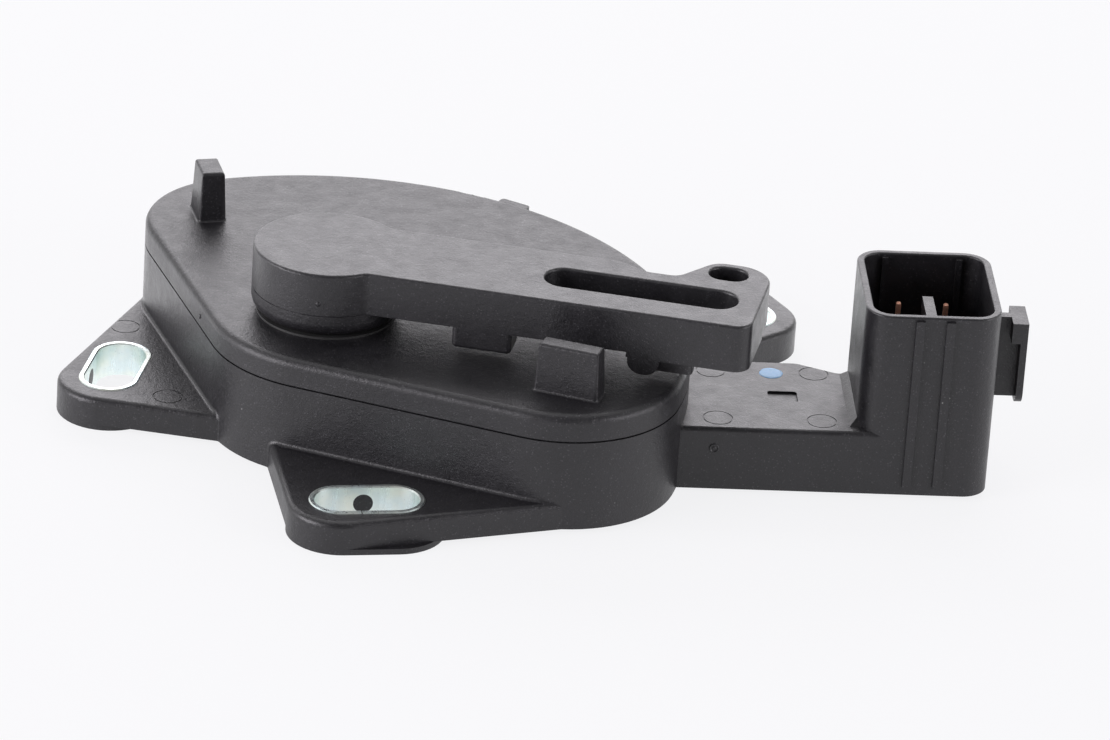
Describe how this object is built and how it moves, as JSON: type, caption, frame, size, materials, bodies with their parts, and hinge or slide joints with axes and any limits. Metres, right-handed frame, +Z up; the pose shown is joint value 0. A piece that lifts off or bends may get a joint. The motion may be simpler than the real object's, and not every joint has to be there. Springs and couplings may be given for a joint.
{
  "type": "neutral position sensor",
  "caption": "Sector-shaped rotary position sensor with a slotted lever on a pivot above its cover, slotted mounting ears and an upright plug socket on a neck.",
  "frame": {"origin": "on the lever's pivot axis, in the mounting plane under the ears' pads", "axes": "+Z up through the cover along the pivot axis, +X along the neck towards the plug socket, +Y towards the rounded back of the case"},
  "size_m": [0.1268, 0.0807, 0.0266],
  "materials": {
    "housing_plastic": "glass-filled black nylon, fine moulded grain",
    "cover_plastic": "glass-filled black nylon, fine moulded grain",
    "lever_plastic": "glass-filled black nylon, fine moulded grain",
    "zinc_steel": "bright zinc plate with drawn marks",
    "copper": "copper alloy, drawn",
    "contact_metal": "rolled contact brass",
    "board": "phenolic laminate",
    "bearing_bronze": "sintered bronze",
    "seal_rubber": "matt black rubber",
    "washer_plastic": "dark acetal",
    "shaft_steel": "ground steel",
    "carrier_plastic": "natural glass-filled nylon"
  },
  "bodies": {
    "base": {"housing": "housing_plastic", "cover": "cover_plastic", "slot_bushing_left": "zinc_steel", "slot_bushing_front": "zinc_steel", "slot_bushing_rear": "zinc_steel", "terminal_a": "copper", "terminal_b": "copper", "terminal_c": "copper", "terminal_d": "copper", "track_board": "board", "track_common": "contact_metal", "track_park": "contact_metal", "track_neutral": "contact_metal", "track_reverse": "contact_metal", "cover_bush": "bearing_bronze", "floor_bush": "bearing_bronze", "shaft_seal": "seal_rubber", "cover_seal": "seal_rubber", "thrust_washer": "washer_plastic"},
    "lever": {"lever": "lever_plastic", "pivot_shaft": "shaft_steel", "contact_arm": "carrier_plastic", "wiper_inner": "contact_metal", "wiper_outer": "contact_metal", "wiper_rivets": "copper", "retaining_clip": "shaft_steel"}
  },
  "joints": [
    {"name": "lever_turn", "type": "hinge", "parent": "base", "child": "lever", "pos_m": [0, 0, 0], "axis": [0, 0, 1], "range_deg": [-6.7, 115.3]}
  ]
}
